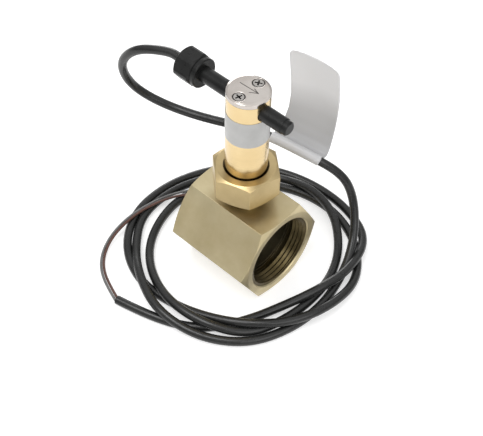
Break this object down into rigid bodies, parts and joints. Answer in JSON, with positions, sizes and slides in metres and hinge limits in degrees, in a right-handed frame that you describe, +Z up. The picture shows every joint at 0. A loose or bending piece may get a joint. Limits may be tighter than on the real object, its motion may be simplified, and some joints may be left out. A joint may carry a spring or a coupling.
{
  "type": "paddle flow switch",
  "caption": "Paddle flow switch in a threaded hexagonal brass tee, with an adjustable clamped reed tube across its tower and a loosely coiled two-core cable.",
  "frame": {"origin": "middle of the tee's lower flat, on the surface it stands on", "axes": "+X is the flow through the tee, +Z is up the tower"},
  "size_m": [0.1502, 0.1437, 0.122],
  "materials": {
    "cast_brass": "fine blasted satin",
    "turned_brass": "fine turned, slightly polished",
    "nickel": "satin nickel plate",
    "steel": "bright stainless",
    "magnet": "plated, satin",
    "black_plastic": "moulded, slightly satin",
    "white_plastic": "moulded",
    "potting_resin": "cast resin",
    "rubber": "moulded",
    "gasket": "pressed fibre and rubber",
    "glass": "clear",
    "silver_label": "metallised film, satin",
    "cable_sheath": "extruded sheath, satin",
    "brown_sheath": "extruded",
    "grey_sheath": "extruded",
    "tinned_copper": "tinned strands",
    "paper_label": "printed film, satin"
  },
  "bodies": {
    "housing": {"tee_body": "cast_brass", "neck_bush": "turned_brass", "union_nut": "turned_brass", "tower_seal": "gasket", "tower_tube": "turned_brass", "tower_label": "silver_label", "cap_disc": "nickel", "clamp_saddle": "turned_brass", "clamp_screws": "steel", "bearing_carrier": "white_plastic", "pivot_pin": "steel", "retaining_ring": "steel", "reset_magnet": "magnet", "cable_lead": "cable_sheath", "cable_coil": "cable_sheath", "cable_tail": "cable_sheath", "brown_core": "brown_sheath", "grey_core": "grey_sheath", "core_tips": "tinned_copper", "label_wrap": "paper_label", "label_flag": "paper_label"},
    "paddle": {"lever": "steel", "magnet_holder": "black_plastic", "drive_magnet": "magnet", "paddle_blade": "steel", "paddle_rivets": "steel"},
    "setpoint": {"switch_tube": "black_plastic", "end_plug": "black_plastic", "gland_body": "black_plastic", "gland_nut": "black_plastic", "gland_grip": "rubber", "reed_sleeve": "white_plastic", "reed_glass": "glass", "reed_blades": "steel", "potting": "potting_resin"}
  },
  "joints": [
    {"name": "paddle_pivot", "type": "hinge", "parent": "housing", "child": "paddle", "pos_m": [0, 0, 0.074], "axis": [0, -1, 0], "range_deg": [0, 10], "stiffness_Nm_per_rad": 0.01, "springref_deg": -11.46},
    {"name": "setpoint_slide", "type": "slide", "parent": "housing", "child": "setpoint", "axis": [1, 0, 0], "range_m": [-0.0015, 0.0015]}
  ]
}
